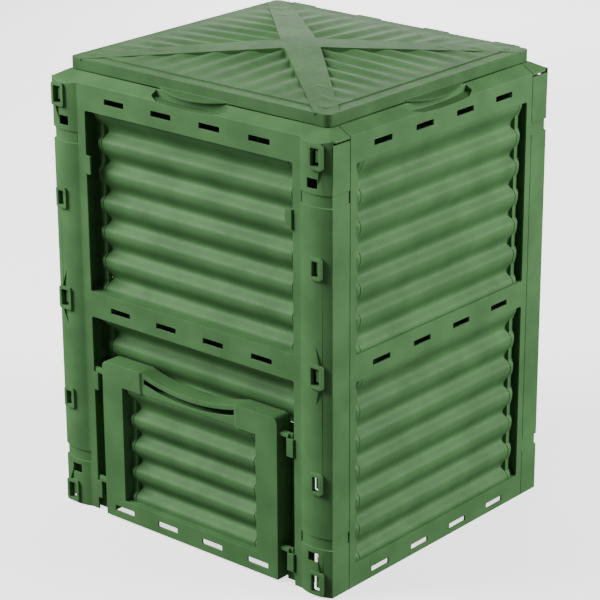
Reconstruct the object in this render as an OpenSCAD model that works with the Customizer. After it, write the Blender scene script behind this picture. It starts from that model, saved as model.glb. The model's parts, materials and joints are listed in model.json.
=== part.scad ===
// Square garden compost bin: two column walls, two side walls, ribbed infill
// sheets, a hinged lid on top and a lift-out hatch at the foot of the front.
// Origin: centre of the footprint, on the ground. Front (hatch side) faces -Y.

/* [Bin] */
// Width across the two side faces
bin_w = 610; // [520:1:760]
// Depth between the front plane and the back plane
bin_d = 568; // [480:1:720]
// Height of the outer top edge of the walls
wall_h = 770; // [640:1:930]
// Thickness of every moulded skin
skin = 3.6; // [2.5:0.1:4.5]

/* [Walls] */
// Width of the corner column on the front or back face
column_w = 63.5; // [55:0.5:80]
// How far the column stands proud of the front plane
column_bulge = 8; // [4:0.5:12]
// Set-back of the column's sharp edge from the column's outer curve
edge_back = 3; // [1:0.5:6]
// Width of the column's flange on the side face
flange_w = 45; // [38:1:55]
// Width of the stile between a column or flange and the infill
stile_w = 15; // [10:0.5:20]
// Height of the bottom rail
foot_rail_h = 42; // [36:1:60]
// Height of the middle rail
mid_rail_h = 46; // [36:1:60]
// Height of the middle of the middle rail above the ground
mid_rail_z = 384; // [340:1:420]
// Height of the top rail
top_rail_h = 46; // [36:1:60]
// Depth of the stiffening returns behind the skin
return_d = 30; // [20:1:40]
// Radius of the window corners
window_corner = 4; // [1:0.5:8]
// Joint gap between a side wall and a column flange
seam = 0.8; // [0.4:0.1:1.5]

/* [Vent slots] */
// Number of slots in each rail
slot_count = 4; // [2:1:6]
// Spacing of the slots
slot_pitch = 105.5; // [80:0.5:110]
// Length of a slot
slot_l = 44; // [30:1:60]
// Height of a slot
slot_h = 9.5; // [6:0.5:12]
// Height of the lowest slot row above the ground
foot_slot_z = 14.5; // [12:0.5:24]

/* [Column lugs and latch windows] */
// Length of a large lug slot, along the column
lug_slot_l = 29; // [24:0.5:34]
// Length of a small lug slot
small_slot_l = 25; // [18:0.5:30]
// Width of a large lug slot
lug_slot_w = 16.5; // [12:0.5:18]
// Width of a small lug slot
small_slot_w = 12; // [8:0.5:14]
// Width of the lug rim around its slot
lug_rim = 6; // [4:0.5:8]
// How far a lug stands proud of the column
lug_proud = 3; // [1:0.5:4]
// Width of a latch window
window_w = 20; // [12:0.5:24]
// Height of a latch window
window_h = 16; // [10:0.5:20]
// Depth of the groove band round a column
groove_depth = 2.2; // [1:0.1:3]
// Height of the groove band
groove_h = 20; // [12:1:28]

/* [Infill sheets] */
// Thickness of a ribbed sheet
sheet = 3; // [2:0.1:4]
// Number of ridges on a sheet
ridge_count = 6; // [3:1:8]
// Depth from a ridge to a valley
ridge_amp = 13; // [8:0.5:18]
// Set-back of the ridges on the front and back
front_inset = 19; // [14:0.5:24]
// Set-back of the ridges on the sides
side_inset = 6; // [3:0.5:12]
// Open gap beside each end of a sheet
end_gap = 5; // [3:0.5:9]
// Width of the flat strip at each end of a sheet
strip_w = 12; // [8:0.5:18]
// Clearance between a sheet and the channel lip behind it
channel_gap = 1; // [0.5:0.5:3]
// How far a channel lip laps behind the end of a sheet
channel_lap = 8; // [4:1:12]

/* [Shoulder and lid] */
// Height from the wall's top edge to the ledge that carries the lid
shoulder_h = 13; // [8:0.5:20]
// Width of the sloping shoulder
shoulder_w = 23; // [18:0.5:30]
// Width of the flat ledge inside the shoulder
ledge_w = 20; // [12:1:30]
// Radius of the shoulder's corners
shoulder_corner = 14; // [4:1:22]
// Gap between the ledge and the lid's skirt
lid_gap = 1; // [0.4:0.1:2]
// Height of the lid's skirt
skirt_h = 20; // [14:0.5:30]
// Height of the lid's peak above the top of the skirt
lid_rise = 16; // [8:0.5:40]
// Width of the flat border inside the lid's rim
border_w = 25; // [15:1:40]
// Radius of the lid's corners
lid_corner = 12; // [6:1:20]
// Width of the lid's cross band at its middle
band_mid_w = 63; // [40:1:80]
// Width of the lid's cross band at a corner
band_end_w = 41; // [24:1:60]
// Length of a grip scoop along the rim
grip_l = 160; // [120:1:200]
// Depth of a grip scoop in from the wall plane
grip_reach = 21; // [16:0.5:24]
// Drop of a grip scoop's floor below the wall's top edge
grip_sag = 4; // [1:0.5:8]
// Thickness of the lid's grip tongue
tongue_t = 3; // [2:0.1:4]
// Drop of the tongue's tip below its root
tongue_drop = 5; // [2:0.5:7]

/* [Lid hinges] */
// Spacing of the hinges
hinge_pitch = 150; // [110:1:160]
// Width of one hinge across both lid ears
hinge_w = 50; // [40:1:60]
// Width of the bracket between the ears
bracket_w = 20; // [14:0.5:24]
// Side clearance between the bracket and an ear
ear_gap = 0.6; // [0.3:0.1:1]
// Diameter of a hinge pin
pin_d = 6; // [4:0.5:8]
// Clearance all round a pin in the bracket
pin_gap = 0.1; // [0.05:0.05:0.3]
// Outer radius of a knuckle
knuckle_r = 7; // [6:0.5:8]
// Gap between a knuckle and the lid's skirt
knuckle_gap = 3; // [2:0.5:5]

/* [Hatch] */
// Width of the hatch door
door_w = 396; // [340:1:420]
// Height of the hatch door
door_h = 288; // [235:1:300]
// Gap under the hatch door
door_foot_gap = 3; // [2:0.5:6]
// Depth of the hatch door
door_d = 35; // [28:0.5:38]
// How far the door's face stands proud of the front plane
door_proud = 9; // [6:0.5:12]
// Width of the door's side stiles
door_stile_w = 47; // [35:1:60]
// Height of the rail above the door's sheet
door_top_h = 40; // [34:1:50]
// Height of the rail below the door's sheet
door_foot_h = 37; // [34:1:50]
// Radius of the door's top corners
door_corner = 11; // [4:0.5:16]
// Number of ridges on the door's sheet
door_ridge_count = 4; // [3:1:6]
// Set-back of the door's ridges from its face
door_inset = 12; // [8:0.5:14]
// Height of the door's slot row above the door's foot
door_slot_up = 18; // [14:0.5:24]
// Spacing of the door's slots
door_slot_pitch = 102.5; // [80:0.5:105]
// Half length of the handle scallop
scallop_half = 110; // [80:1:130]
// Depth of the handle scallop
scallop_drop = 16; // [10:0.5:20]
// Depth of the handle's lips behind the door's face
lip_recess = 3; // [1:0.5:5]
// Height of a hook tab on the front wall
tab_h = 32; // [24:0.5:40]
// Width of a hook tab past the opening's edge
tab_reach = 13; // [9:0.5:16]
// Thickness of a hook tab
tab_t = 4; // [3:0.5:5]
// Clearance of the door's hooks behind and above the tabs
hook_gap = 0.5; // [0.3:0.1:1]
// Width of the moulding slit beside a tab
tab_slit_w = 2.5; // [1:0.5:4]

/* [Hidden] */
$fn = 48;
green = "#5f8558";
eps = 0.01;
far = 2000;

// Walls
half_w = bin_w / 2;
half_d = bin_d / 2;
crease_x = half_w - column_w;
front_open_half = crease_x - stile_w;
seam_y = half_d - flange_w;
side_half = seam_y - seam;
side_open_half = side_half - stile_w;
mid_lo = mid_rail_z - mid_rail_h / 2;
mid_hi = mid_rail_z + mid_rail_h / 2;
top_lo = wall_h - top_rail_h;
mid_slot_drop = 2.5;
top_slot_drop = 23;
mid_slot_z = mid_rail_z - mid_slot_drop;
top_slot_z = wall_h - top_slot_drop;
shoulder_slope = shoulder_h / shoulder_w;
column_top = wall_h - shoulder_slope * (column_bulge + edge_back);
slot_corner = 1.5;
web_t = 2;
arc_steps = 18;

// Column levels
lug_edge_gap = 24;
lug_inset = 25;
window_step = 44;
groove_step = 17;
window_shift = 9;
big_lug_z = [lug_edge_gap, mid_rail_z + 1, wall_h - lug_edge_gap - 1];
small_lug_z = [(big_lug_z[0] + big_lug_z[1]) / 2 - 4, (big_lug_z[1] + big_lug_z[2]) / 2];
window_z = [big_lug_z[0] + window_step, big_lug_z[2] - window_step];
groove_z = [window_z[0] + groove_step, window_z[1] - groove_step - groove_h];
lug_x = half_w - lug_inset;
lug_corner = 5;
lug_slot_corner = 2.5;
lug_slot_end_y = -half_d + skin + 8;

// Wall hooks in the small and large lug slots
hook_play = 5;
hook_wall = 4;
hook_reach = 26;
hook_root_gap = 8;
hook_h = small_slot_l - hook_play;

// Infill sheets
first_drop = 55;
last_rise = 3;
door_first_drop = 56;
door_last_rise = 7;
sheet_steps = 14;
front_channel = front_inset + ridge_amp + sheet + channel_gap;
side_channel = side_inset + ridge_amp + sheet + channel_gap;
header_gap = 2;
header_lap = 18;
header_inset = door_d - door_proud + header_gap;
header_channel = header_inset + ridge_amp + sheet + channel_gap;

// Shoulder and lid
ledge_z = wall_h + shoulder_h;
scoop_z = wall_h - grip_sag;
scoop_end_rise = grip_sag + 1;
scoop_floor_r = (grip_l * grip_l / 4 + scoop_end_rise * scoop_end_rise) / (2 * scoop_end_rise);
grip_break = 12;
lid_half_w = half_w - shoulder_w - 1;
lid_half_d = half_d - shoulder_w + 1;
skirt_z = ledge_z + lid_gap;
rim_z = skirt_z + skirt_h;
peak_z = rim_z + lid_rise;
field_drop = 1;
band_proud = 5;
field_z = rim_z - field_drop;
field_rise = lid_rise - field_drop - band_proud;
grip_r = (grip_l * grip_l / 4 + grip_reach * grip_reach) / (2 * grip_reach);
tongue_short = 4;
tongue_root = 2;
tongue_side_gap = 6;
locate_gap = 2;
lid_lip_h = 12;

// Hinges
hinge_count = 4;
hinge_y = lid_half_d + knuckle_gap + knuckle_r;
hinge_z = skirt_z + skirt_h / 2 + 1;
ear_w = (hinge_w - bracket_w) / 2 - ear_gap;

// Hatch
door_face_y = -half_d - door_proud;
door_back_y = door_face_y + door_d;
door_lo = door_foot_gap;
door_hi = door_foot_gap + door_h;
door_half = door_w / 2;
door_open_half = door_half - door_stile_w;
door_open_lo = door_lo + door_foot_h;
door_open_hi = door_hi - door_top_h;
tab_x = front_open_half - tab_reach;
tab_rise = 41;
tab_drop = 46;
tab_park_rise = 67;
tab_low_z = [tab_rise, door_hi - tab_drop];
tab_park_z = (mid_hi + top_lo) / 2 + tab_park_rise;
tab_z = [tab_low_z[0], tab_low_z[1], tab_park_z];
hook_t = 5;
door_seat_gap = 3;
frame_floor_y = door_back_y + door_seat_gap;
frame_lap = 8;
frame_hole_half = door_open_half - frame_lap;
frame_hole_hi = door_open_hi - frame_lap;
frame_foot_half = door_half - frame_lap;
frame_foot_h = 14;
sill_h = 22;
sill_setback = 12;
door_foot_d = 14;
lip_slope = 5;
handle_r = (scallop_half * scallop_half + scallop_drop * scallop_drop) / (2 * scallop_drop);
handle_z = door_hi - scallop_drop + handle_r;
finger_lo = 18;
finger_hi = 9;
header_h = mid_lo - door_hi + header_lap;

// Turn a piece made for the front (facing -Y) to one of the four sides.
module on_back() { rotate([0, 0, 180]) children(); }
module on_right() { rotate([0, 0, 90]) children(); }
module on_left() { rotate([0, 0, -90]) children(); }

// Rectangle with rounded corners, centred.
module soft_rect(w, h, r) {
    square([w - 2 * r, h], center = true);
    square([w, h - 2 * r], center = true);
    for (sx = [-1, 1], sz = [-1, 1]) translate([sx * (w / 2 - r), sz * (h / 2 - r)]) circle(r);
}

// Prism along Y from y0 to y1 with the 2D shape in X and Z.
module along_y(y0, y1) {
    translate([0, y1, 0]) rotate([90, 0, 0]) linear_extrude(y1 - y0) children();
}

// Block between two corners.
module block(a, b) { translate(a) cube(b - a); }

// Row of slots cut through a wall face that lies at y = plane.
module slot_row(plane, z, pitch) {
    for (i = [0 : slot_count - 1])
        along_y(plane - slot_l / 2, plane + slot_l / 2)
            translate([(i - (slot_count - 1) / 2) * pitch, z])
                soft_rect(slot_l, slot_h, slot_corner);
}

// Point on the column's outer curve: 0 at the crease, 1 at the sharp edge.
function column_point(t, inset) = [
    crease_x + t * (column_w - inset),
    -half_d - 4 * column_bulge * t * (1 - t) + edge_back * t + inset
];

// Plan section of one column: curved face, flange and inner web.
module column_section(inset) {
    outer = [for (i = [0 : arc_steps]) column_point(i / arc_steps, inset)];
    inner = [for (i = [arc_steps : -1 : 0]) column_point(i / arc_steps, inset + skin)];
    polygon(concat(outer, inner));
    edge_y = -half_d + edge_back + inset;
    translate([half_w - inset - skin, edge_y]) square([skin, -seam_y - edge_y]);
    translate([crease_x, -half_d + inset]) square([skin, return_d]);
}

// Column on the right of the front face, with its groove bands.
module column_shell() {
    levels = [
        [0, groove_z[0], 0],
        [groove_z[0], groove_z[0] + groove_h, groove_depth],
        [groove_z[0] + groove_h, groove_z[1], 0],
        [groove_z[1], groove_z[1] + groove_h, groove_depth],
        [groove_z[1] + groove_h, column_top, 0]
    ];
    for (s = levels) translate([0, 0, s[0]]) linear_extrude(s[1] - s[0]) column_section(s[2]);
    // webs that close the steps at the groove bands
    for (g = groove_z, e = [0, groove_h])
        translate([0, 0, g + e - web_t / 2]) linear_extrude(web_t) column_section(groove_depth);
    column_cap();
}

// Cap of the column, cut by the slope of the shoulder carried on past the front plane.
module column_cap() {
    run = column_bulge + edge_back;
    intersection() {
        translate([0, 0, column_top - skin]) linear_extrude(wall_h) column_fill();
        rotate([90, 0, 90])
            translate([0, 0, crease_x])
                linear_extrude(column_w)
                    polygon([
                        [-half_d - run, column_top - skin], [-half_d - run, wall_h - shoulder_slope * run],
                        [-half_d, wall_h], [-half_d + skin, wall_h + shoulder_slope * skin],
                        [-half_d + skin, column_top - skin]
                    ]);
    }
}

// Solid plan of the column, used for its top cap.
module column_fill() {
    outer = [for (i = [0 : arc_steps]) column_point(i / arc_steps, 0)];
    polygon(concat(outer, [[half_w, -seam_y], [crease_x, -seam_y]]));
}

module lug(z, l, w) {
    translate([0, 0, z])
        along_y(-half_d - column_bulge - lug_proud, -half_d - column_bulge / 2)
            translate([lug_x, 0]) soft_rect(w + 2 * lug_rim, l + 2 * lug_rim, lug_corner);
}

module lug_cut(z, l, w) {
    translate([0, 0, z])
        along_y(-half_d - return_d, lug_slot_end_y)
            translate([lug_x, 0]) soft_rect(w, l, lug_slot_corner);
}

module column() {
    difference() {
        union() {
            column_shell();
            for (z = big_lug_z) lug(z, lug_slot_l, lug_slot_w);
            for (z = small_lug_z) lug(z, small_slot_l, small_slot_w);
        }
        for (z = big_lug_z) lug_cut(z, lug_slot_l, lug_slot_w);
        for (z = small_lug_z) lug_cut(z, small_slot_l, small_slot_w);
        for (z = window_z)
            along_y(-half_d - return_d, lug_slot_end_y)
                translate([lug_x - window_shift, z]) square([window_w, window_h], center = true);
    }
}

// Solid under the sloping shoulder of all four walls, dropped by d.
module shoulder_solid(d) {
    base = scoop_z - skin - 1;
    intersection() {
        rotate([90, 0, 90])
            translate([0, 0, -half_w])
                linear_extrude(bin_w)
                    polygon([
                        [-half_d, base], [half_d, base], [half_d, wall_h - d],
                        [half_d - shoulder_w, ledge_z - d], [-half_d + shoulder_w, ledge_z - d],
                        [-half_d, wall_h - d]
                    ]);
        along_y(-half_d, half_d)
            polygon([
                [-half_w, base], [half_w, base], [half_w, wall_h - d],
                [half_w - shoulder_w, ledge_z - d], [-half_w + shoulder_w, ledge_z - d],
                [-half_w, wall_h - d]
            ]);
    }
}

// Tall solid over the scoop that lets fingers under the lid, on a face at y = -half.
module scoop_solid(half) {
    intersection() {
        translate([0, 0, scoop_z])
            linear_extrude(far)
                intersection() {
                    translate([0, -half - grip_break + grip_r]) circle(grip_r, $fn = 160);
                    translate([-grip_l / 2, -half - far / 2]) square([grip_l, far / 2 + grip_reach]);
                }
        along_y(-far, far) translate([0, scoop_z + scoop_floor_r]) circle(scoop_floor_r, $fn = 240);
    }
}

// Thickened shoulder that a grip scoop is sunk into.
module grip_pad(half) {
    intersection() {
        rotate([0, 0, half == half_w ? -90 : 0]) shoulder_solid(0);
        block([-grip_l / 2 - skin, -half, scoop_z - skin],
              [grip_l / 2 + skin, -half + grip_reach + skin, far]);
    }
}

// Shoulder shell round the whole bin, with the ledge's inner opening.
module shoulder_ring() {
    inner_w = half_w - shoulder_w - ledge_w;
    inner_d = half_d - shoulder_w - ledge_w;
    difference() {
        intersection() {
            shoulder_solid(0);
            linear_extrude(far) soft_rect(bin_w, bin_d, shoulder_corner);
        }
        shoulder_solid(skin);
        translate([-inner_w, -inner_d, 0]) cube([2 * inner_w, 2 * inner_d, far]);
    }
}

// Part of the shoulder that belongs to a column wall or to a side wall.
module shoulder_of_column_wall() {
    intersection() {
        shoulder_ring();
        block([-half_w, -half_d, 0], [half_w, -seam_y, far]);
    }
}

module shoulder_of_side_wall() {
    intersection() {
        shoulder_ring();
        block([0, -side_half, 0], [half_w, side_half, far]);
    }
}

// Horizontal shelf behind the skin, from the front plane inwards.
module shelf(half, plane, z, depth) {
    block([-half, plane, z], [half, plane + depth, z + skin]);
}

// Channels for the two ends of a sheet between the heights z[0] and z[1], in a face at
// y = plane: a cheek at x = outer and a lip behind the sheet's end.
module end_channels(open_half, outer, plane, depth, z) {
    for (s = [0, 1]) mirror([s, 0, 0]) {
        block([outer, plane, z[0]], [outer + skin, plane + depth + skin, z[1]]);
        block([open_half - end_gap - channel_lap, plane + depth, z[0]],
              [outer + eps, plane + depth + skin, z[1]]);
    }
}

// Window with rounded corners between the heights z[0] and z[1] in a face at y = plane.
module window_cut(plane, half, z) {
    along_y(plane - 1, plane + skin + eps)
        translate([0, (z[0] + z[1]) / 2]) soft_rect(2 * half, z[1] - z[0], window_corner);
}

// Column wall seen from the front, with both openings and two slot rows.
module column_wall() {
    plane = -half_d;
    difference() {
        union() {
            block([-crease_x - eps, plane, 0], [crease_x + eps, plane + skin, wall_h]);
            column();
            mirror([1, 0, 0]) column();
            for (z = [mid_hi - skin, mid_lo, top_lo])
                shelf(crease_x, plane, z, front_channel + skin);
            end_channels(front_open_half, crease_x, plane, front_channel, [mid_hi - skin, top_lo + skin]);
        }
        for (z = [[foot_rail_h, mid_lo], [mid_hi, top_lo]]) window_cut(plane, front_open_half, z);
        slot_row(plane, mid_slot_z, slot_pitch);
        slot_row(plane, top_slot_z, slot_pitch);
    }
    shoulder_of_column_wall();
}

// Hook tab for the door or for parking it, right side.
module hook_tab(z) {
    block([tab_x, -half_d - tab_t, z - tab_h / 2],
          [front_open_half + 1, -half_d + eps, z + tab_h / 2]);
    block([front_open_half - 1, -half_d - tab_t, z - tab_h / 2],
          [front_open_half + 1, -half_d + skin, z + tab_h / 2]);
}

// Slit through the stile beside a tab.
module tab_slit(z) {
    block([front_open_half + 1, -half_d - 1, z - tab_h / 2 + 1],
          [front_open_half + 1 + tab_slit_w, -half_d + skin + 1, z + tab_h / 2 - 1]);
}

// Rim that the closed door shuts against.
module hatch_frame() {
    outer = front_open_half;
    difference() {
        block([-crease_x, frame_floor_y, 0], [crease_x, frame_floor_y + skin, mid_lo - header_h - 1]);
        block([-frame_hole_half, frame_floor_y - 1, -1],
              [frame_hole_half, frame_floor_y + skin + 1, frame_hole_hi]);
        block([-frame_foot_half, frame_floor_y - 1, -1],
              [frame_foot_half, frame_floor_y + skin + 1, frame_foot_h]);
    }
    for (s = [0, 1]) mirror([s, 0, 0])
        block([door_half + door_seat_gap, -half_d + sill_setback, 0],
              [outer + stile_w - eps, -half_d + sill_setback + skin, sill_h]);
    for (s = [-1, 1])
        translate([s * (outer + stile_w - skin / 2), 0, 0])
            block([-skin / 2, -half_d, 0], [skin / 2, frame_floor_y + skin, mid_lo + skin]);
}

module front_wall() {
    color(green) {
        difference() {
            union() {
                column_wall();
                grip_pad(half_d);
            }
            block([-front_open_half, -half_d - 1, -1],
                  [front_open_half, -half_d + skin + eps, foot_rail_h + 5]);
            scoop_solid(half_d);
            for (s = [0, 1], z = tab_z) mirror([s, 0, 0]) tab_slit(z);
        }
        shelf(crease_x, -half_d, mid_lo, header_channel + skin);
        end_channels(front_open_half, crease_x, -half_d, header_channel,
                     [mid_lo - header_h - 1, mid_lo + skin]);
        hatch_frame();
        for (s = [0, 1], z = tab_z) mirror([s, 0, 0]) hook_tab(z);
    }
}

module hinge_bracket() {
    difference() {
        union() {
            translate([-bracket_w / 2, hinge_y, hinge_z]) rotate([0, 90, 0]) cylinder(r = knuckle_r, h = bracket_w);
            block([-bracket_w / 2, hinge_y - knuckle_r, wall_h - 2],
                  [bracket_w / 2, hinge_y + knuckle_r, hinge_z]);
        }
        translate([-far / 2, hinge_y, hinge_z]) rotate([0, 90, 0]) cylinder(d = pin_d + 2 * pin_gap, h = far);
    }
}

function hinge_x(i) = (i - (hinge_count - 1) / 2) * hinge_pitch;

module back_wall() {
    color(green) {
        on_back() {
            difference() {
                column_wall();
                slot_row(-half_d, foot_slot_z, slot_pitch);
            }
            shelf(crease_x, -half_d, foot_rail_h - skin, front_channel + skin);
            end_channels(front_open_half, crease_x, -half_d, front_channel,
                         [foot_rail_h - skin, mid_lo + skin]);
        }
        for (i = [0 : hinge_count - 1]) translate([hinge_x(i), 0, 0]) hinge_bracket();
    }
}

// Hook from a side wall into a lug slot of the column in front of it.
module wall_hook(z) {
    reach_y = -half_d - column_bulge / 2;
    toe_w = small_slot_w - hook_wall;
    root_x = half_w - skin - hook_play;
    tip_y = -side_half - hook_reach;
    bend_y = tip_y + hook_wall;
    root_y = -side_half + hook_root_gap;
    translate([0, 0, z - hook_h / 2]) {
        block([root_x - hook_wall, tip_y, 0], [root_x, root_y, hook_h]);
        block([lug_x - toe_w / 2, tip_y, 0], [root_x, bend_y, hook_h]);
        block([lug_x - toe_w / 2, reach_y, 0], [lug_x + toe_w / 2, bend_y, hook_h]);
        block([root_x - hook_wall, root_y - hook_wall, 0], [half_w - eps, root_y, hook_h]);
    }
}

// Side wall seen with its outer face at +X.
module side_wall() {
    plane = -half_w;
    windows = [[foot_rail_h, mid_lo], [mid_hi, top_lo]];
    difference() {
        union() {
            on_right() {
                block([-side_half, plane, 0], [side_half, plane + skin, wall_h]);
                for (z = [foot_rail_h - skin, mid_hi - skin, mid_lo, top_lo])
                    shelf(side_half, plane, z, side_channel + skin);
                for (z = windows)
                    end_channels(side_open_half, side_open_half + stile_w / 2, plane, side_channel,
                                 [z[0] - skin, z[1] + skin]);
                grip_pad(half_w);
            }
            shoulder_of_side_wall();
        }
        on_right() {
            for (z = windows) window_cut(plane, side_open_half, z);
            for (z = [foot_slot_z, mid_slot_z, top_slot_z]) slot_row(plane, z, slot_pitch);
            scoop_solid(half_w);
        }
    }
    for (s = [0, 1]) mirror([0, s, 0]) for (z = concat(big_lug_z, small_lug_z)) wall_hook(z);
}

module right_wall() { color(green) side_wall(); }
module left_wall() { color(green) mirror([1, 0, 0]) side_wall(); }

// Set-back of a sheet's face at drop t below the top of its opening.
function sheet_depth(t, top, ridge, first, pitch) =
    let (valley = ridge + ridge_amp, turn = first - pitch / 2)
    t < turn
        ? top + (valley - top) * (1 - cos(180 * t / turn)) / 2
        : ridge + ridge_amp * (1 - cos(360 * (t - first) / pitch)) / 2;

// Ribbed sheet for an opening from lo to hi, in a face at y = plane.
// It is made down to the drop "cut" below the opening's top.
module ribbed_sheet(half, plane, lo, hi, count, top, ridge, first, last, cut) {
    pitch = (hi - lo - first - last) / (count - 1);
    steps = ceil(sheet_steps * cut / pitch);
    drops = [for (i = [0 : steps]) cut * i / steps];
    face = [for (t = drops) [plane + sheet_depth(t, top, ridge, first, pitch), hi - t]];
    back = [for (i = [steps : -1 : 0]) face[i] + [sheet, 0]];
    run = half - end_gap - strip_w;
    strip_y = plane + ridge + ridge_amp * 0.45;
    rotate([90, 0, 90]) translate([0, 0, -run]) linear_extrude(2 * run) polygon(concat(face, back));
    for (s = [0, 1]) mirror([s, 0, 0])
        block([run - eps, strip_y, hi - cut], [run + strip_w, strip_y + sheet, hi]);
}

module wall_sheet(half, plane, lo, hi, ridge, top) {
    ribbed_sheet(half, plane, lo, hi, ridge_count, top, ridge, first_drop, last_rise, hi - lo);
}

module front_upper() {
    wall_sheet(front_open_half, -half_d, mid_hi, top_lo, front_inset, front_inset / 2);
}

module back_lower() {
    wall_sheet(front_open_half, -half_d, foot_rail_h, mid_lo, front_inset, front_inset / 2);
}

module side_upper() {
    on_right() wall_sheet(side_open_half, -half_w, mid_hi, top_lo, side_inset, skin / 2);
}

module side_lower() {
    on_right() wall_sheet(side_open_half, -half_w, foot_rail_h, mid_lo, side_inset, skin / 2);
}

module front_upper_sheet() { color(green) front_upper(); }
module back_upper_sheet() { color(green) on_back() front_upper(); }
module back_lower_sheet() { color(green) on_back() back_lower(); }
module right_upper_sheet() { color(green) side_upper(); }
module right_lower_sheet() { color(green) side_lower(); }
module left_upper_sheet() { color(green) mirror([1, 0, 0]) side_upper(); }
module left_lower_sheet() { color(green) mirror([1, 0, 0]) side_lower(); }

// Short sheet that fills the front wall above the hatch opening.
module front_header_sheet() {
    color(green)
        ribbed_sheet(front_open_half, -half_d, foot_rail_h, mid_lo, ridge_count, front_inset / 2,
                     header_inset, first_drop, last_rise, header_h);
}

// Outline of the door with rounded top corners, in X and Z, shrunk by s.
module door_outline(s) {
    w = door_half - s;
    lo = door_lo + s;
    hi = door_hi - s;
    r = door_corner;
    difference() {
        union() {
            translate([-w, lo]) square([2 * w, hi - lo - r]);
            translate([-w + r, lo]) square([2 * (w - r), hi - lo]);
            for (e = [-1, 1]) translate([e * (w - r), hi - r]) circle(r);
        }
        scallop_shape(s);
    }
}

// Arc that dips the door's top edge for the handle.
module scallop_shape(s) {
    translate([0, handle_z]) circle(handle_r + s, $fn = 200);
}

// Curved finger slot that follows the scallop.
module finger_slot() {
    intersection() {
        difference() {
            scallop_shape(finger_lo);
            scallop_shape(finger_hi);
        }
        translate([-scallop_half + 8, door_open_hi]) square([2 * scallop_half - 16, door_h]);
    }
}

// Block in front of the handle's lips with sloping ends, down to the given depth behind
// the door's face and wider by s.
module lip_block(depth, s) {
    w = scallop_half + s;
    translate([0, 0, door_open_hi - 1])
        linear_extrude(door_top_h + 2)
            polygon([[-w, door_face_y - 1], [w, door_face_y - 1],
                     [w - lip_slope, door_face_y + depth], [-w + lip_slope, door_face_y + depth]]);
}

module door_window(s) {
    translate([-door_open_half - s, door_open_lo - s])
        square([2 * (door_open_half + s), door_open_hi - door_open_lo + 2 * s]);
}

// Hook that drops behind a tab on the right of the door.
module door_hook(z) {
    top = z + tab_h / 2 + hook_gap;
    y0 = -half_d + hook_gap;
    x1 = front_open_half - 3;
    block([door_half - skin, y0, top], [x1, y0 + hook_t, top + 8]);
    block([tab_x + 1, y0, z - tab_h / 2 + 4], [x1, y0 + hook_t, top + 8]);
    block([door_half - skin, -half_d - tab_t, top], [tab_x + 4, y0 + 1, top + 7]);
}

module hatch_door() {
    color(green) {
        difference() {
            along_y(door_face_y, door_back_y) door_outline(0);
            difference() {
                along_y(door_face_y + skin, door_back_y + 1) door_outline(skin);
                along_y(door_face_y, door_back_y - 6) door_window(skin);
                lip_block(lip_recess + skin, skin);
            }
            lip_block(lip_recess, 0);
            block([-door_half + skin, door_face_y + door_foot_d, door_lo - 1],
                  [door_half - skin, door_back_y + 1, door_lo + skin + eps]);
            along_y(door_face_y - 1, door_back_y + 1) door_window(0);
            slot_row(door_face_y, door_lo + door_slot_up, door_slot_pitch);
            along_y(door_face_y - 1, door_face_y + lip_recess + skin + 1) finger_slot();
        }
        for (s = [0, 1], z = tab_low_z) mirror([s, 0, 0]) door_hook(z);
    }
}

module hatch_sheet() {
    color(green)
        ribbed_sheet(door_open_half + end_gap - 1, door_face_y, door_open_lo, door_open_hi,
                     door_ridge_count, skin + 1, door_inset, door_first_drop, door_last_rise,
                     door_open_hi - door_open_lo - 0.5);
}

// Shallow hipped solid under the lid's ribbed fields, dropped by d.
module field_solid(d) {
    w = lid_half_w - border_w;
    l = lid_half_d - border_w;
    intersection() {
        rotate([90, 0, 90])
            translate([0, 0, -w])
                linear_extrude(2 * w)
                    polygon([[-l, skirt_z], [l, skirt_z], [l, field_z - d],
                             [0, field_z + field_rise - d], [-l, field_z - d]]);
        along_y(-l, l)
            polygon([[-w, skirt_z], [w, skirt_z], [w, field_z - d],
                     [0, field_z + field_rise - d], [-w, field_z - d]]);
    }
}

// One arm of the cross band, from the middle to a corner of the rim.
module band_arm(a) {
    reach = sqrt(lid_half_w * lid_half_w + lid_half_d * lid_half_d) - lid_corner - 6;
    rotate([0, 0, a])
        intersection() {
            translate([0, 0, skirt_z])
                linear_extrude(far)
                    polygon([[-band_mid_w / 2, -band_mid_w / 2], [reach, -band_end_w / 2],
                             [reach, band_end_w / 2], [-band_mid_w / 2, band_mid_w / 2]]);
            along_y(-band_mid_w, band_mid_w)
                polygon([[-band_mid_w, rim_z - skin], [reach, rim_z - skin], [reach, rim_z],
                         [band_mid_w / 2, peak_z], [-band_mid_w, peak_z]]);
        }
}

module lid_plan(s) {
    soft_rect(2 * (lid_half_w - s), 2 * (lid_half_d - s), lid_corner - s);
}

// Grip tongue that slopes down from the skirt, over the scoop of the face at y = -half_plane.
module tongue(half_plane, lid_half) {
    plan_r = grip_r - tongue_short;
    tip_y = -half_plane + tongue_short;
    root_y = -lid_half + tongue_root;
    root_z = skirt_z + 1;
    intersection() {
        translate([0, 0, root_z - tongue_drop - 1])
            linear_extrude(tongue_drop + tongue_t + 2)
                translate([0, tip_y + plan_r]) circle(plan_r, $fn = 160);
        rotate([90, 0, 90])
            translate([0, 0, -grip_l / 2 + tongue_side_gap])
                linear_extrude(grip_l - 2 * tongue_side_gap)
                    polygon([
                        [tip_y - 1, root_z - tongue_drop], [root_y, root_z],
                        [root_y, root_z + tongue_t], [tip_y - 1, root_z - tongue_drop + tongue_t]
                    ]);
    }
}

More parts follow.
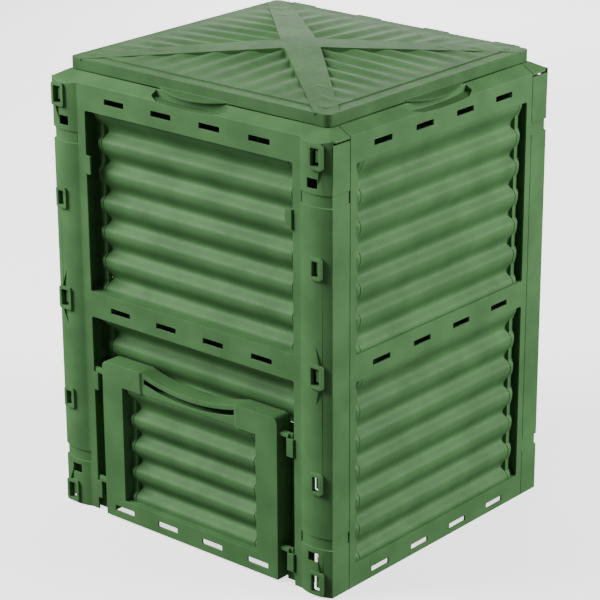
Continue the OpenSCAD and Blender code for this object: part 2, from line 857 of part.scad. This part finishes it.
// Pair of ears that carry one hinge pin.
module lid_ears() {
    for (s = [0, 1]) mirror([s, 0, 0])
        difference() {
            union() {
                translate([bracket_w / 2 + ear_gap, hinge_y, hinge_z]) rotate([0, 90, 0]) cylinder(r = knuckle_r, h = ear_w);
                block([bracket_w / 2 + ear_gap, lid_half_d - 1, hinge_z - 2],
                      [bracket_w / 2 + ear_gap + ear_w, hinge_y, hinge_z + knuckle_r]);
            }
            translate([0, hinge_y, hinge_z]) rotate([0, 90, 0]) cylinder(d = pin_d, h = hinge_w);
        }
}

module lid() {
    lip_half_w = half_w - shoulder_w - ledge_w - locate_gap;
    lip_half_d = half_d - shoulder_w - ledge_w - locate_gap;
    color(green) {
        difference() {
            union() {
                difference() {
                    translate([0, 0, skirt_z]) linear_extrude(skirt_h) lid_plan(0);
                    translate([0, 0, skirt_z - 1]) linear_extrude(skirt_h + 1 - skin) lid_plan(skin);
                    field_solid(0);
                }
                difference() {
                    field_solid(0);
                    field_solid(skin);
                }
                for (sx = [-1, 1], sy = [-1, 1])
                    band_arm(atan2(sy * lid_half_d, sx * lid_half_w));
            }
            field_under();
        }
        locating_rim(lip_half_w, lip_half_d);
        tongue(half_d, lid_half_d);
        for (a = [90, -90]) rotate([0, 0, a]) tongue(half_w, lid_half_w);
        for (i = [0 : hinge_count - 1]) translate([hinge_x(i), 0, 0]) lid_ears();
    }
}

// Hollow under the field and the cross band.
module field_under() {
    translate([0, 0, -0.5]) field_solid(skin);
}

// Rib under the lid that keeps it centred in the ledge.
module locating_rim(w, d) {
    top = rim_z - skin + 1;
    translate([0, 0, ledge_z - lid_lip_h])
        linear_extrude(top - ledge_z + lid_lip_h)
            difference() {
                square([2 * w, 2 * d], center = true);
                square([2 * (w - skin), 2 * (d - skin)], center = true);
            }
}

module hinge_pin(i) {
    color("#4c4f4b")
        translate([hinge_x(i) - hinge_w / 2, hinge_y, hinge_z])
            rotate([0, 90, 0]) cylinder(d = pin_d, h = hinge_w);
}

front_wall();
back_wall();
left_wall();
right_wall();
front_upper_sheet();
front_header_sheet();
back_upper_sheet();
back_lower_sheet();
left_upper_sheet();
left_lower_sheet();
right_upper_sheet();
right_lower_sheet();
hatch_door();
hatch_sheet();
lid();
hinge_pin(0);  // hinge_pin_1
hinge_pin(1);  // hinge_pin_2
hinge_pin(2);  // hinge_pin_3
hinge_pin(3);  // hinge_pin_4
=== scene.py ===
import json
import math
import bpy
import bmesh
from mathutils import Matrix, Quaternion, Vector
from mathutils.bvhtree import BVHTree


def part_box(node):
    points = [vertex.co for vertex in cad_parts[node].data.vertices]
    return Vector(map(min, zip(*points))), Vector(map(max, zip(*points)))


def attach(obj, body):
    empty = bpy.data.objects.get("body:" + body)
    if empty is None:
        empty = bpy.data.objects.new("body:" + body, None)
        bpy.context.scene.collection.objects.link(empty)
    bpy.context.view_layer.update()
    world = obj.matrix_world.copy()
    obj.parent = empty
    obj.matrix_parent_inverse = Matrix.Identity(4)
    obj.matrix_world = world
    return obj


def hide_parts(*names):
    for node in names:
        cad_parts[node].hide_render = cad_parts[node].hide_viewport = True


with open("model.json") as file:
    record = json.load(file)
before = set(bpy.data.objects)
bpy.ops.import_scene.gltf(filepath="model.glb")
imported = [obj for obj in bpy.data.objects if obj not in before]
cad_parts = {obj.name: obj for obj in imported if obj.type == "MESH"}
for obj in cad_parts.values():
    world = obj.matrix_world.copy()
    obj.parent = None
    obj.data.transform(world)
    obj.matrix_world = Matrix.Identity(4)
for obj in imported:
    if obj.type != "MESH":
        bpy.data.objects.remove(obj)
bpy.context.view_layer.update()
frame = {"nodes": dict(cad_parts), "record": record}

mm = 0.001
scene = bpy.context.scene
print("frame loaded:", len(frame["nodes"]), "nodes")

# view and studio

view = {
    "azimuth": 40.74,      # degrees to the right of the front
    "elevation": 20.45,    # degrees above the horizon
    "roll": -0.285,        # degrees
    "distance": 4137.9,    # mm from the aim point
    "aim": (-2.1, -1.8, 363.8),
    "lens": 143.6,         # mm
    "sensor": 36,          # mm
    "farClip": 60,         # m
}


def aimedRotation(place, target):
    return (target - place).to_track_quat("-Z", "Y")


def onSphere(azimuth, elevation, distance):
    a, e = math.radians(azimuth), math.radians(elevation)
    return distance * Vector((math.sin(a) * math.cos(e), -math.cos(a) * math.cos(e), math.sin(e)))


def makeCamera(v):
    data = bpy.data.cameras.new("camera")
    data.lens = v["lens"]
    data.sensor_width = v["sensor"]
    data.clip_end = v["farClip"]
    camera = bpy.data.objects.new("camera", data)
    scene.collection.objects.link(camera)
    target = Vector(v["aim"]) * mm
    camera.location = target + onSphere(v["azimuth"], v["elevation"], v["distance"] * mm)
    camera.rotation_mode = "QUATERNION"
    tilt = Quaternion((0, 0, 1), math.radians(v["roll"]))
    camera.rotation_quaternion = aimedRotation(camera.location, target) @ tilt
    scene.camera = camera


makeCamera(view)

# azimuth and elevation in degrees, distance and size in metres, power in watts
softboxes = {
    "keyLeftFront": {"azimuth": -46, "elevation": 33, "distance": 4.4, "size": (2.6, 2.6), "power": 345},
    "sideRight": {"azimuth": 121, "elevation": 25, "distance": 4.2, "size": (2.2, 2.2), "power": 245},
    "backFill": {"azimuth": 215, "elevation": 14, "distance": 4.0, "size": (2.0, 2.0), "power": 60},
}
room = {
    "floorSize": 30.0,      # m
    "floorColour": "#f2f3f1",
    "floorGlow": 1.6,
    "skyColour": "#f4f6f4",
    "skyStrength": 0.26,
    "lightTarget": (0, 0, 0.4),
}


def linear(code):
    parts = [int(code[i:i + 2], 16) / 255 for i in (1, 3, 5)]
    return [c / 12.92 if c <= 0.04045 else ((c + 0.055) / 1.055) ** 2.4 for c in parts] + [1.0]


def makeLights(boxes):
    target = Vector(room["lightTarget"])
    for name, b in boxes.items():
        data = bpy.data.lights.new(name, "AREA")
        data.shape = "RECTANGLE"
        data.size, data.size_y = b["size"]
        data.energy = b["power"]
        lamp = bpy.data.objects.new(name, data)
        scene.collection.objects.link(lamp)
        lamp.location = target + onSphere(b["azimuth"], b["elevation"], b["distance"])
        lamp.rotation_mode = "QUATERNION"
        lamp.rotation_quaternion = aimedRotation(lamp.location, target)
    world = bpy.data.worlds.new("studio")
    world.use_nodes = True
    sky = world.node_tree.nodes["Background"]
    sky.inputs["Color"].default_value = linear(room["skyColour"])
    sky.inputs["Strength"].default_value = room["skyStrength"]
    scene.world = world


makeLights(softboxes)
print("camera and lights set")

# materials


def addNode(tree, kind, settings=None, links=None):
    # settings are input values or node properties, links join an input to an output socket
    node = tree.nodes.new(kind)
    for key, value in (settings or {}).items():
        if key in node.inputs:
            node.inputs[key].default_value = value
        else:
            setattr(node, key, value)
    for key, source in (links or {}).items():
        tree.links.new(source, node.inputs[key])
    return node


def newMaterial(name):
    material = bpy.data.materials.new(name)
    material.use_nodes = True
    tree = material.node_tree
    shader = tree.nodes["Principled BSDF"]
    place = addNode(tree, "ShaderNodeTexCoord").outputs["Object"]
    return material, tree, shader, place


def blend(tree, factor, first, second):
    mix = addNode(tree, "ShaderNodeMix", {"data_type": "RGBA"})
    mix.inputs[6].default_value = first
    mix.inputs[7].default_value = second
    tree.links.new(factor, mix.inputs[0])
    return mix.outputs[2]


polypropylene = {
    "deep": "#446b3f",
    "pale": "#4e7848",
    "cloudMm": 70,      # slow drift of the regrind colour
    "grainMm": 1.1,     # spark-eroded grain, drawn about twice its real size so it shows
    "scuffMm": 14,
    "grainHeightMm": 0.05,
    "grainStrength": 0.35,
    "roughness": (0.56, 0.70),
    "ior": 1.49,
    "gloss": 0.22,      # specular level of the grained skin
}
# the lid's colours are darkened: painted shade that holds back its top, which the lights strike more
# than the walls
lidPaintedShadeColours = {"deep": "#3a5e35", "pale": "#446a3e"}

pinRod = {"deep": "#33472f", "pale": "#3d5438", "mottleMm": 1.667, "roughness": 0.38, "ior": 1.49}


# polypropylene, injection moulded in a spark-eroded tool: even mid green with a faint cloudy
# drift, a soft sheen broken by fine grain, and a few paler rubbed patches
def makeGreenPolypropylene(name, p):
    material, tree, shader, place = newMaterial(name)
    cloud = addNode(tree, "ShaderNodeTexNoise", {"Scale": 1000 / p["cloudMm"], "Detail": 2},
                    {"Vector": place})
    cloudRange = addNode(tree, "ShaderNodeMapRange", {"From Min": 0.35, "From Max": 0.65},
                         {"Value": cloud.outputs["Fac"]})
    base = blend(tree, cloudRange.outputs["Result"], linear(p["deep"]), linear(p["pale"]))
    tree.links.new(base, shader.inputs["Base Color"])
    scuff = addNode(tree, "ShaderNodeTexNoise",
                    {"Scale": 1000 / p["scuffMm"], "Detail": 5, "Roughness": 0.65}, {"Vector": place})
    low, high = p["roughness"]
    rough = addNode(tree, "ShaderNodeMapRange",
                    {"From Min": 0.3, "From Max": 0.7, "To Min": low, "To Max": high},
                    {"Value": scuff.outputs["Fac"]})
    tree.links.new(rough.outputs["Result"], shader.inputs["Roughness"])
    grain = addNode(tree, "ShaderNodeTexNoise", {"Scale": 1000 / p["grainMm"], "Detail": 3},
                    {"Vector": place})
    bump = addNode(tree, "ShaderNodeBump",
                   {"Strength": p["grainStrength"], "Distance": p["grainHeightMm"] * mm},
                   {"Height": grain.outputs["Fac"]})
    tree.links.new(bump.outputs["Normal"], shader.inputs["Normal"])
    shader.inputs["IOR"].default_value = p["ior"]
    shader.inputs["Specular IOR Level"].default_value = p["gloss"]
    return material


# polypropylene rod, turned smooth: darker and slightly shinier than the grained skins
def makePinPolypropylene(p=pinRod):
    material, tree, shader, place = newMaterial("pinPolypropylene")
    mottle = addNode(tree, "ShaderNodeTexNoise", {"Scale": 1000 / p["mottleMm"], "Detail": 2},
                     {"Vector": place})
    base = blend(tree, mottle.outputs["Fac"], linear(p["deep"]), linear(p["pale"]))
    tree.links.new(base, shader.inputs["Base Color"])
    shader.inputs["Roughness"].default_value = p["roughness"]
    shader.inputs["IOR"].default_value = p["ior"]
    return material


def makeFloorMaterial():
    material, tree, shader, place = newMaterial("paleFloor")
    shader.inputs["Base Color"].default_value = linear(room["floorColour"])
    shader.inputs["Roughness"].default_value = 0.9
    shader.inputs["Emission Color"].default_value = (1, 1, 1, 1)
    shader.inputs["Emission Strength"].default_value = room["floorGlow"]
    return material


greenPolypropylene = makeGreenPolypropylene("greenPolypropylene", polypropylene)
# the lid's copy of the polypropylene, with painted shade darkening its colours
lidPaintedShadePolypropylene = makeGreenPolypropylene("lidPaintedShadePolypropylene", {**polypropylene, **lidPaintedShadeColours})
pinPolypropylene = makePinPolypropylene()

floorMesh = bpy.data.meshes.new("floor")
floorBuild = bmesh.new()
bmesh.ops.create_grid(floorBuild, x_segments=1, y_segments=1, size=room["floorSize"] / 2)
floorBuild.to_mesh(floorMesh)
floorBuild.free()
floor = bpy.data.objects.new("floor", floorMesh)
scene.collection.objects.link(floor)
floor.data.materials.append(makeFloorMaterial())
floor.visible_diffuse = False   # the bright floor throws no light up at the bin
floor.visible_glossy = False
print("materials and floor made")

# shared ways of making a piece

finish = {
    "edgeRadius": 0.9,      # mm, on the walls
    "hatchRadius": 1.2,
    "lidRadius": 1.0,
    "edgeSegments": 2,
    "sharpFrom": 25,        # degrees at which an edge gets its radius
    "creaseAt": 32,         # degrees at which shading breaks
    "ribCreaseAt": 50,
}


def shadeByAngle(bm, degrees):
    limit = math.radians(degrees)
    for face in bm.faces:
        face.smooth = True
    for edge in bm.edges:
        edge.smooth = len(edge.link_faces) != 2 or edge.calc_face_angle(0) < limit


def addPiece(bm, name, body, material, replaced, degrees=finish["creaseAt"]):
    shadeByAngle(bm, degrees)
    mesh = bpy.data.meshes.new(name)
    bm.to_mesh(mesh)
    bm.free()
    piece = bpy.data.objects.new(name, mesh)
    scene.collection.objects.link(piece)
    mesh.materials.append(material)
    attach(piece, body)
    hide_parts(*replaced)
    return piece


def mergedCopy(node):
    # one closed skin of a frame node
    bm = bmesh.new()
    bm.from_mesh(frame["nodes"][node].data)
    bmesh.ops.remove_doubles(bm, verts=bm.verts, dist=0.02 * mm)
    return bm


def thicken(bm, thickness):
    # solidify throws spikes where a rib's nose folds, so the skin is extruded and each point of
    # the back moved straight behind its own point of the skin
    made = bmesh.ops.extrude_face_region(bm, geom=bm.faces[:], use_keep_orig=True)["geom"]
    bm.normal_update()
    for vert in [g for g in made if isinstance(g, bmesh.types.BMVert)]:
        vert.co -= vert.normal * thickness
    bmesh.ops.recalc_face_normals(bm, faces=bm.faces)


def softenEdges(bm, radius, segments, sharpFrom, lo, hi):
    # mould radii on every sharp edge; a corner that the bevel throws clear of the skin is put back
    # on it, and nothing passes the piece's own box
    skin = BVHTree.FromBMesh(bm)
    limit = math.radians(sharpFrom)
    sharp = [e for e in bm.edges if len(e.link_faces) == 2 and e.calc_face_angle(0) > limit]
    bmesh.ops.bevel(bm, geom=sharp, offset=radius, offset_type="OFFSET", segments=segments,
                    profile=0.5, affect="EDGES", clamp_overlap=False, material=-1)
    for vert in bm.verts:
        nearest, normal, index, distance = skin.find_nearest(vert.co)
        if distance > radius * 0.5:
            vert.co = nearest
        vert.co = [min(max(c, a), b) for c, a, b in zip(vert.co, lo, hi)]
    bmesh.ops.remove_doubles(bm, verts=bm.verts, dist=0.01 * mm)


def softNode(node, name, body, radius=finish["edgeRadius"], material=greenPolypropylene):
    bm = mergedCopy(node)
    softenEdges(bm, radius * mm, finish["edgeSegments"], finish["sharpFrom"], *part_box(node))
    piece = addPiece(bm, name, body, material, [node])
    weighted = piece.modifiers.new("flatNormals", "WEIGHTED_NORMAL")
    weighted.keep_sharp = True
    return piece


for wallNode in ("front_wall", "back_wall", "left_wall", "right_wall"):
    softNode(wallNode, wallNode + "_skin", "bin")
print("walls made")

softNode("hatch_door", "hatch_door_skin", "hatch", finish["hatchRadius"])
softNode("lid", "lid_skin", "top_lid", finish["lidRadius"], lidPaintedShadePolypropylene)
print("hatch and lid made")

# ribbed infill sheets, made facing the front: depth runs inwards from the wall's face,
# drop runs down from the window's top, all in mm

sheetShape = {
    "rowsPerRidge": 18,
    "valleyAt": 0.68,      # the underside of a ridge takes this share of the pitch
    "droop": 1.35,         # above 1, the underside is steepest near the valley
    "thickness": 3,
    "noseLength": 10,      # rounded end of a ridge
    "noseOverhang": 3,     # how far a nose runs past the flat band
    "noseRoundness": 2.4,  # 2 is an ellipse, more is squarer
    "noseTrim": 0.8,       # depth of the nose that stays past the band
    "stripWidth": 12,      # flat band past the valleys
    "stripShare": 0.45,    # depth of the band between ridge and valley
    "slitWidth": 1.4,      # gap between a valley's end and the band
    "slitFrom": 6.0,       # the gap is open where the valley lies this far below the band
    "noseSteps": 12,
    "lastStep": 2,         # last station of the plain ridges before the slit
    "plainSteps": 8,       # stations from the middle to the slit
}

# top is the set-back at the window's top, ridge the set-back of the ridges, depth how much deeper
# the valleys lie, first the drop to the first ridge, last the rise of the last ridge above the
# window's foot; the header sheet is the top of a full one, hangs behind the hatch and stays deep there
frontWindow = {"top": 9.5, "ridge": 19, "depth": 15, "first": 55, "last": 3, "ridges": 6}
sideWindow = {"top": 1.8, "ridge": 6, "depth": 12.5, "first": 55, "last": 3, "ridges": 6}
headerWindow = {"top": 9.5, "ridge": 28, "depth": 15, "first": 55, "last": 3, "ridges": 6,
                "height": 319, "slits": False, "hang": 6, "tailFrom": 88, "tailDepth": 35}
hatchWindow = {"top": 4.6, "ridge": 12, "depth": 15, "first": 56, "last": 7, "ridges": 4}


def sheetDepth(drop, w, pitch, valleyAt, droop):
    valley = w["ridge"] + w["depth"]
    turn = w["first"] - pitch * (1 - valleyAt)
    if drop < turn:
        return w["top"] + (valley - w["top"]) * (1 - math.cos(math.pi * drop / turn)) / 2
    phase = (drop - w["first"]) / pitch % 1
    along = (phase / valleyAt) ** droop if phase < valleyAt else (1 - phase) / (1 - valleyAt)
    depth = w["ridge"] + w["depth"] * (1 - math.cos(math.pi * along)) / 2
    return max(depth, w["tailDepth"]) if drop > w.get("tailFrom", math.inf) else depth


def makeSheet(node, body, w, facing, s=sheetShape):
    # facing is the quarter turn, in degrees, from the front to this sheet's wall
    turn = Quaternion((0, 0, 1), math.radians(facing))
    corners = [turn.inverted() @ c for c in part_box(node)]
    half = max(abs(c.x) for c in corners) / mm
    face = min(c.y for c in corners) / mm - w["top"]
    lo, hi = [f(c.z for c in corners) / mm for f in (min, max)]
    pitch = (w.get("height", hi - lo) - w["first"] - w["last"]) / (w["ridges"] - 1)
    lo -= w.get("hang", 0)
    slitFrom = s["slitFrom"] if w.get("slits", True) else math.inf
    run = half - s["stripWidth"]
    inner = run - s["slitWidth"]
    strip = w["ridge"] + w["depth"] * s["stripShare"]
    # stations across the sheet; the pair at run is the foot and the head of the band's return
    ends = [inner - s["lastStep"], inner, run, run]
    ends += [run + s["stripWidth"] * i / s["noseSteps"] for i in range(1, s["noseSteps"] + 1)]
    plain = [inner * i / s["plainSteps"] for i in range(1 - s["plainSteps"], s["plainSteps"])]
    stations = [-x for x in reversed(ends)] + plain + ends
    foot = (len(ends) - 1 - ends.index(run), len(stations) - len(ends) + ends.index(run))
    rows = math.ceil(s["rowsPerRidge"] * (hi - lo) / pitch)
    bm = bmesh.new()
    bmesh.ops.create_grid(bm, x_segments=len(stations) - 1, y_segments=rows, size=0.5)
    depths = {}
    for vert in bm.verts:
        column = round((vert.co.x + 0.5) * (len(stations) - 1))
        drop = (hi - lo) * (0.5 - vert.co.y)
        x = stations[column]
        depth = sheetDepth(drop, w, pitch, s["valleyAt"], s["droop"])
        depths[vert] = (column, depth)
        if column in foot:
            depth = max(depth, strip)
        elif abs(x) > inner + 0.01:
            u = max(0, (abs(x) - half + s["noseLength"]) / s["noseLength"])
            swell = math.sqrt(max(0, 1 - u ** s["noseRoundness"]))
            depth = min(strip, strip + (depth - strip) * swell)
        vert.co = turn @ Vector((x, face + depth, hi - drop)) * mm
    gone = []
    for f in bm.faces:
        left, right = sorted({depths[v][0] for v in f.verts})
        below = min(depths[v][1] for v in f.verts) - strip
        inSlit = left == foot[0] or right == foot[1]
        pastBand = min(abs(stations[c]) for c in (left, right)) > half - s["noseOverhang"] - 0.01
        if (inSlit and below > slitFrom) or (pastBand and below > -s["noseTrim"]):
            gone.append(f)
    bmesh.ops.delete(bm, geom=gone, context="FACES")
    bmesh.ops.recalc_face_normals(bm, faces=bm.faces)
    outward = turn @ Vector((0, -1, 0))
    if sum(f.normal.dot(outward) * f.calc_area() for f in bm.faces) < 0:
        bmesh.ops.reverse_faces(bm, faces=bm.faces)
    thicken(bm, s["thickness"] * mm)
    return addPiece(bm, node + "_ribbed", body, greenPolypropylene, [node],
                    finish["ribCreaseAt"])


for side, facing in (("front", 0), ("right", 90), ("back", 180), ("left", -90)):
    window = frontWindow if side in ("front", "back") else sideWindow
    makeSheet(side + "_upper_sheet", "bin", window, facing)
    if side != "front":
        makeSheet(side + "_lower_sheet", "bin", window, facing)
makeSheet("front_header_sheet", "bin", headerWindow, 0)
makeSheet("hatch_sheet", "hatch", hatchWindow, 0)
print("ribbed sheets made")

# soft ribs on the lid's four sloping fields, which run up the slope and fade at the rim

lidRibs = {
    "border": 25,         # mm from the lid's edge to the field
    "fieldDrop": 17,      # field's edge below the lid's peak
    "fieldRise": 9,       # rise of a field to the middle
    "lift": 0.25,         # how far the ribbed skin lies on the field in the middle
    "rimLift": 2.6,       # and at the rim, where its edge stands up from the border
    "ribHeight": 6.0,
    "ribsOnFront": 12,
    "fadeAtRim": 150,     # length over which the ribs rise from the rim
    "fadePower": 0.8,
    "stepAcross": 2.3,
    "stepAlong": 9,
    "thickness": 2.7,
    "half": (281, 262),   # half width and half depth of the lid's top
}


def makeLidField(quarter, halfAcross, halfAlong, peak, r=lidRibs):
    # made facing the front: across the rim is X, up the slope is Y
    turn = Quaternion((0, 0, 1), math.radians(90 * quarter))
    bm = bmesh.new()
    bmesh.ops.create_grid(bm, x_segments=round(2 * halfAcross / r["stepAcross"]),
                          y_segments=round(halfAlong / r["stepAlong"]), size=0.5)
    bmesh.ops.scale(bm, vec=(2 * halfAcross, halfAlong, 1), verts=bm.verts)
    bmesh.ops.translate(bm, vec=(0, -halfAlong / 2, 0), verts=bm.verts)
    for side in (-1, 1):
        bmesh.ops.bisect_plane(bm, geom=bm.verts[:] + bm.edges[:] + bm.faces[:], dist=0.001,
                               plane_co=(0, 0, 0), plane_no=(side * halfAlong, halfAcross, 0),
                               clear_outer=True)
    pitch = 2 * halfAcross / r["ribsOnFront"]
    for vert in bm.verts:
        x, y = vert.co.x, vert.co.y
        fromRim = halfAlong + y
        fade = min(1, fromRim / r["fadeAtRim"])
        wave = (1 + math.cos(2 * math.pi * x / pitch)) / 2
        slope = r["fieldRise"] * fromRim / halfAlong
        lift = r["lift"] + (r["rimLift"] - r["lift"]) * max(0, 1 - fromRim / r["fadeAtRim"])
        z = peak - r["fieldDrop"] + lift + slope + r["ribHeight"] * wave * fade ** r["fadePower"]
        vert.co = turn @ Vector((x, y, z)) * mm
    bmesh.ops.recalc_face_normals(bm, faces=bm.faces)
    if bm.faces[0].normal.z < 0:
        bmesh.ops.reverse_faces(bm, faces=bm.faces)
    thicken(bm, r["thickness"] * mm)
    return bm


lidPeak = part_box("lid")[1].z / mm
for quarter, name in enumerate(("front", "right", "back", "left")):
    across, along = [half - lidRibs["border"] for half in lidRibs["half"]][::-1 if quarter % 2 else 1]
    fieldMesh = makeLidField(quarter, across, along, lidPeak)
    addPiece(fieldMesh, "lid_" + name + "_ribs", "top_lid", lidPaintedShadePolypropylene,
             ["lid"], finish["ribCreaseAt"])
print("lid ribs made")

hingePins = {"count": 4, "segments": 32, "chamfer": 0.9, "chamferSegments": 3}


def makePin(number, p=hingePins):
    node = "hinge_pin_" + str(number)
    lo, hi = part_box(node)
    radius = (hi.z - lo.z) / 2
    bm = bmesh.new()
    bmesh.ops.create_cone(bm, cap_ends=True, segments=p["segments"], radius1=radius,
                          radius2=radius, depth=hi.x - lo.x)
    rims = [e for e in bm.edges if abs(e.verts[0].co.z - e.verts[1].co.z) < 1e-6]
    bmesh.ops.bevel(bm, geom=rims, offset=p["chamfer"] * mm, segments=p["chamferSegments"],
                    profile=0.5, affect="EDGES", material=-1)
    turn = Quaternion((0, 1, 0), math.radians(90))
    for vert in bm.verts:
        vert.co = turn @ vert.co + (lo + hi) / 2
    addPiece(bm, node + "_rod", pinBody(node), pinPolypropylene, [node])


def pinBody(node):
    bodies = frame["record"]["behaviour"]["bodies"]
    return next(body for body, members in bodies.items() if node in members)


for number in range(1, hingePins["count"] + 1):
    makePin(number)
print("hinge pins made")
